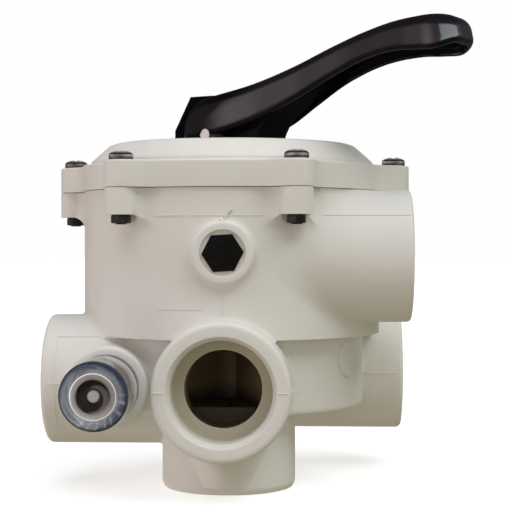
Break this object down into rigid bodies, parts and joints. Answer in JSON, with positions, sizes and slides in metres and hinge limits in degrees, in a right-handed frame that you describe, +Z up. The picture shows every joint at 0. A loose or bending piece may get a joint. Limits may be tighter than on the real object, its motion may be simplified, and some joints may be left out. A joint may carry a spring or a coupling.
{
  "type": "multiport valve",
  "caption": "Multiport selector valve for a sand filter: moulded body with pipe ports, bolted cover, sight glass and a press-down lever that lifts and turns a sprung rotor.",
  "frame": {"origin": "centre of the bottom port's mouth, in the plane that the valve stands on", "axes": "+Z up along the rotor's axis, -Y out of the front port, +X toward the two right-hand ports"},
  "size_m": [0.2111, 0.196, 0.2318],
  "materials": {
    "white_abs": "off-white moulded ABS, satin",
    "black_plastic": "black moulded plastic, glossy",
    "stainless": "stainless steel",
    "seal_rubber": "black rubber",
    "rotor_plastic": "off-white moulded plastic",
    "slip_plastic": "grey-white acetal",
    "clear_plastic": "clear moulded plastic",
    "label": "printed film, bare of words"
  },
  "bodies": {
    "housing": {"valve_body": "white_abs", "cover": "white_abs", "cover_o_ring": "seal_rubber", "cover_screws": "stainless", "cover_nuts": "stainless", "spider_gasket": "seal_rubber", "spring_washer_upper": "slip_plastic", "handle_thrust_ring": "slip_plastic", "position_label": "label", "sight_glass": "clear_plastic", "sight_glass_o_ring": "seal_rubber", "gauge_plug": "black_plastic", "gauge_plug_o_ring": "seal_rubber"},
    "lift_stack": {"spring_washer_lower": "slip_plastic", "spring": "stainless"},
    "rotor_body": {"rotor": "rotor_plastic", "stem_o_ring_lower": "seal_rubber", "stem_o_ring_upper": "seal_rubber", "handle_pin": "stainless"},
    "handle_body": {"handle": "black_plastic"}
  },
  "joints": [
    {"name": "rotor_lift", "type": "slide", "parent": "housing", "child": "lift_stack", "axis": [0, 0, 1], "range_m": [0, 0.00698], "stiffness_N_per_m": 1500, "springref_m": -0.012, "deforming": ["spring"]},
    {"name": "rotor_turn", "type": "hinge", "parent": "lift_stack", "child": "rotor_body", "pos_m": [0, 0.03, 0], "axis": [0, 0, 1], "continuous": true},
    {"name": "handle_tilt", "type": "hinge", "parent": "rotor_body", "child": "handle_body", "pos_m": [0, 0.03, 0.1795], "axis": [0.5, 0.866, 0], "range_deg": [0, 20]}
  ],
  "couplings": [
    {"joint": "handle_tilt", "follows": "rotor_lift", "rad_per_m": 50}
  ]
}
